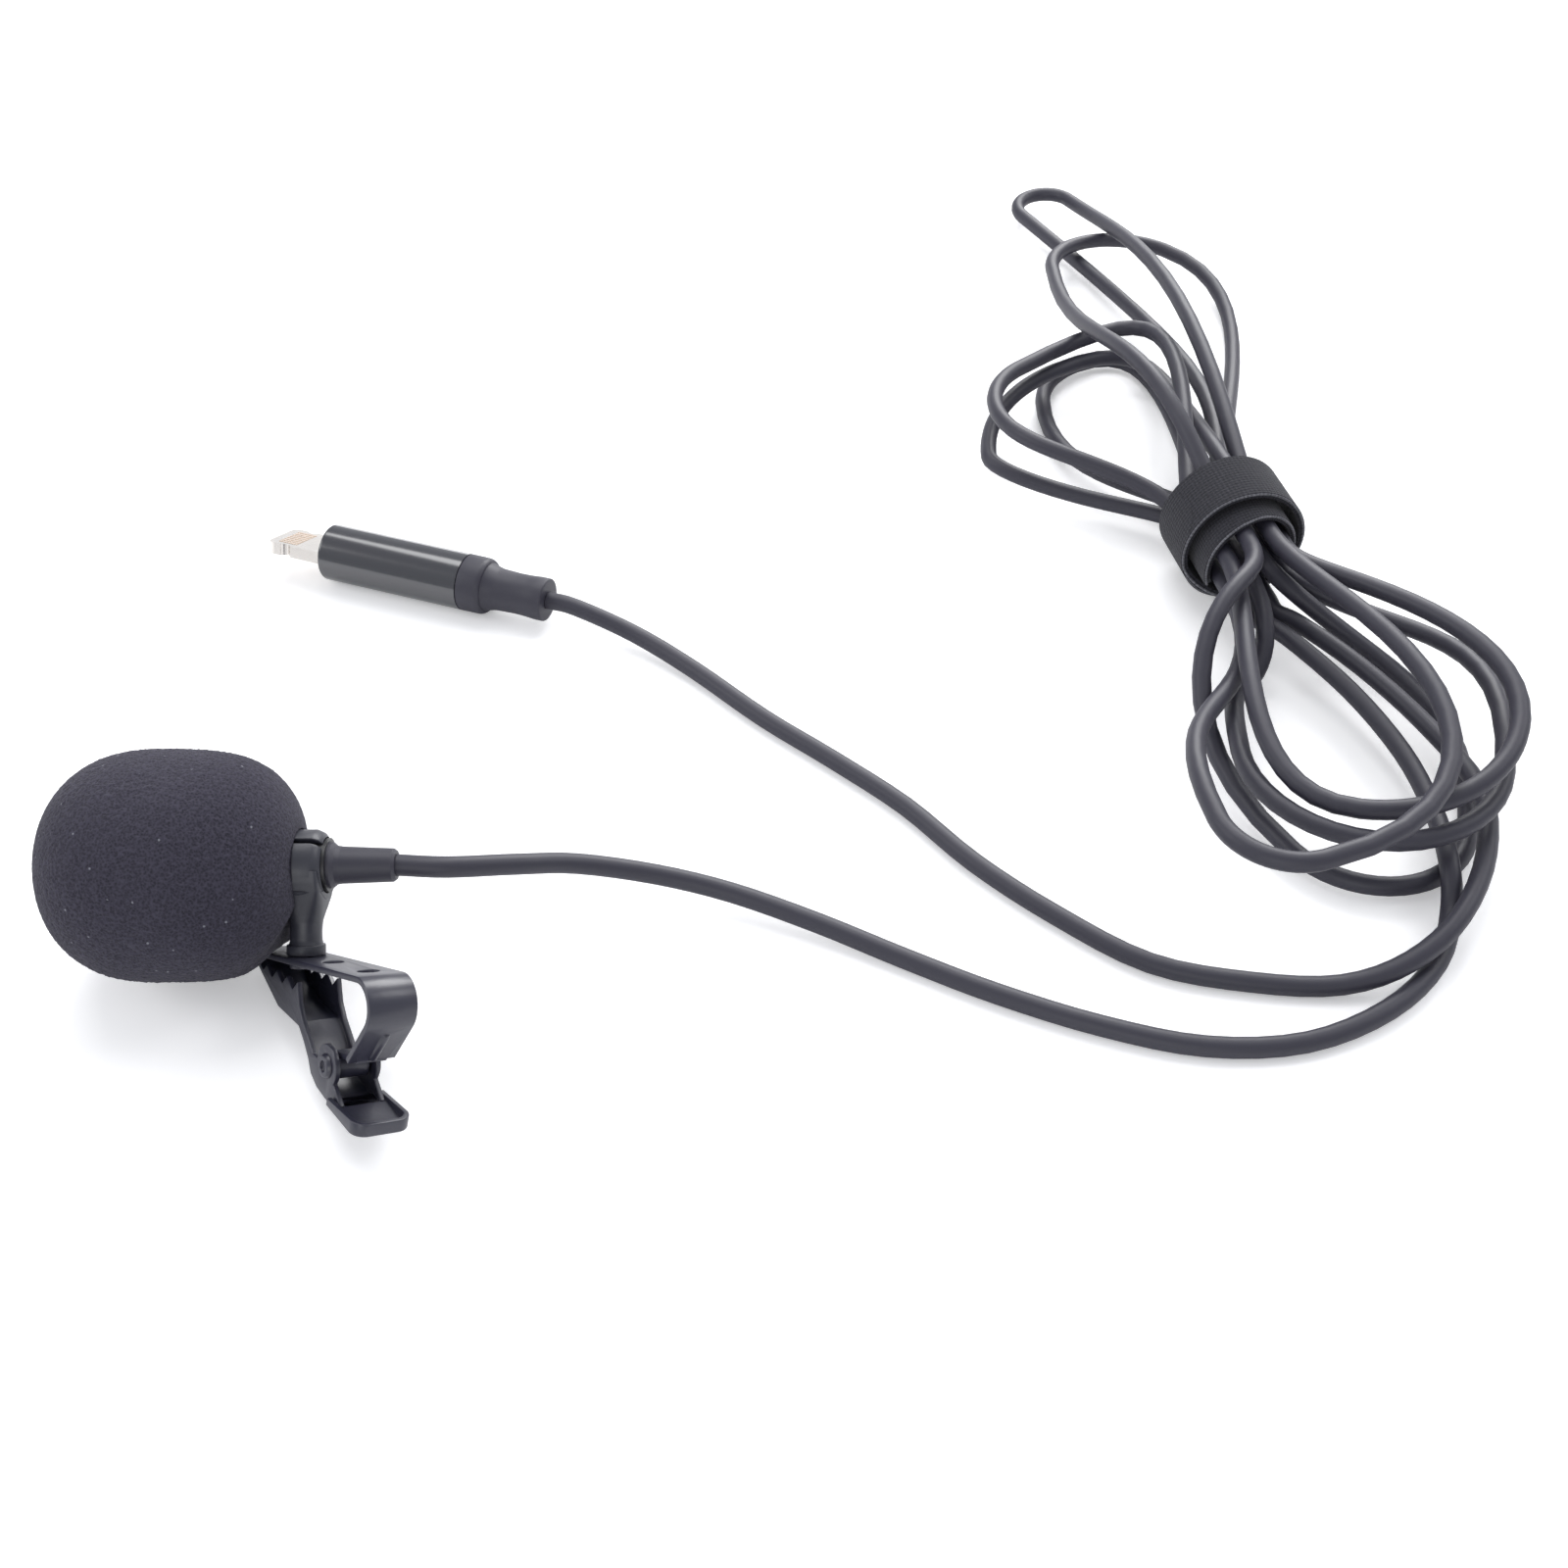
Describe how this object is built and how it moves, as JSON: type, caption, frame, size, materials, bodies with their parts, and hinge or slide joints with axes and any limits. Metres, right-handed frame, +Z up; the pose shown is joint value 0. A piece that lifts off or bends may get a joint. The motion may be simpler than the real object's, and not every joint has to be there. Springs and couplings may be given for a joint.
{
  "type": "lavalier microphone",
  "caption": "Clip-on lavalier microphone with foam windscreen, swivelling tie clip, thin cord tied up in a hank and a flat plug.",
  "frame": {"origin": "on the table under the centre of the box round the microphone head and clip, without the cord and plug", "axes": "+X along the microphone's axis from the foam towards its strain relief, +Y towards the hank, +Z up from the table"},
  "size_m": [0.1563, 0.1913, 0.0242],
  "materials": {
    "foam": "open-cell foam, matt",
    "housing_paint": "satin",
    "mesh_metal": "satin",
    "felt": "matt",
    "moulded_rubber": "satin",
    "capsule_can": "satin",
    "circuit_board": "solder mask",
    "red_insulation": "satin",
    "holder_plastic": "satin",
    "black_clip_steel": "black electrophoretic coat, semi-gloss",
    "cord_jacket": "satin",
    "woven_strap": "woven",
    "gloss_barrel": "gloss",
    "inner_moulding": "moulded",
    "tongue_nickel": "bright nickel",
    "contact_gold": "gold plate"
  },
  "bodies": {
    "microphone": {"front_grille": "mesh_metal", "dust_felt": "felt", "capsule_gasket": "moulded_rubber", "electret_capsule": "capsule_can", "amplifier_board": "circuit_board", "core_wires": "red_insulation", "capsule_housing": "housing_paint", "rear_bush": "holder_plastic", "mic_strain_relief": "moulded_rubber", "cord_mic_lead": "cord_jacket", "cord_hank": "cord_jacket", "cord_plug_lead": "cord_jacket", "cable_tie": "woven_strap", "plug_strain_relief": "moulded_rubber", "plug_collar": "moulded_rubber", "plug_barrel": "gloss_barrel", "plug_inner_body": "inner_moulding", "converter_board": "circuit_board", "plug_tongue": "tongue_nickel", "plug_contacts": "contact_gold"},
    "windscreen": {"foam_windscreen": "foam"},
    "holder": {"holder_ring": "holder_plastic", "swivel_stud": "black_clip_steel"},
    "clip_strip": {"spring_strip": "black_clip_steel"},
    "jaw": {"clip_jaw": "black_clip_steel", "pivot_rivet": "black_clip_steel"}
  },
  "joints": [
    {"name": "windscreen_pull", "type": "slide", "parent": "microphone", "child": "windscreen", "axis": [-1, 0, 0], "range_m": [0, 0.0135]},
    {"name": "holder_turn", "type": "hinge", "parent": "microphone", "child": "holder", "pos_m": [0.00715, 0.0071, 0.0124], "axis": [1, 0, 0], "range_deg": [-90, 90]},
    {"name": "clip_swivel", "type": "hinge", "parent": "holder", "child": "clip_strip", "pos_m": [0.0068, 0.00096, 0.00582], "axis": [0, 0.682, 0.7314], "range_deg": [-70, 0]},
    {"name": "jaw_open", "type": "hinge", "parent": "clip_strip", "child": "jaw", "pos_m": [0.0129, -0.01089, 0.00416], "axis": [-0.7771, -0.4603, 0.4292], "range_deg": [0, 30], "stiffness_Nm_per_rad": 0.02, "springref_deg": -11.46}
  ]
}
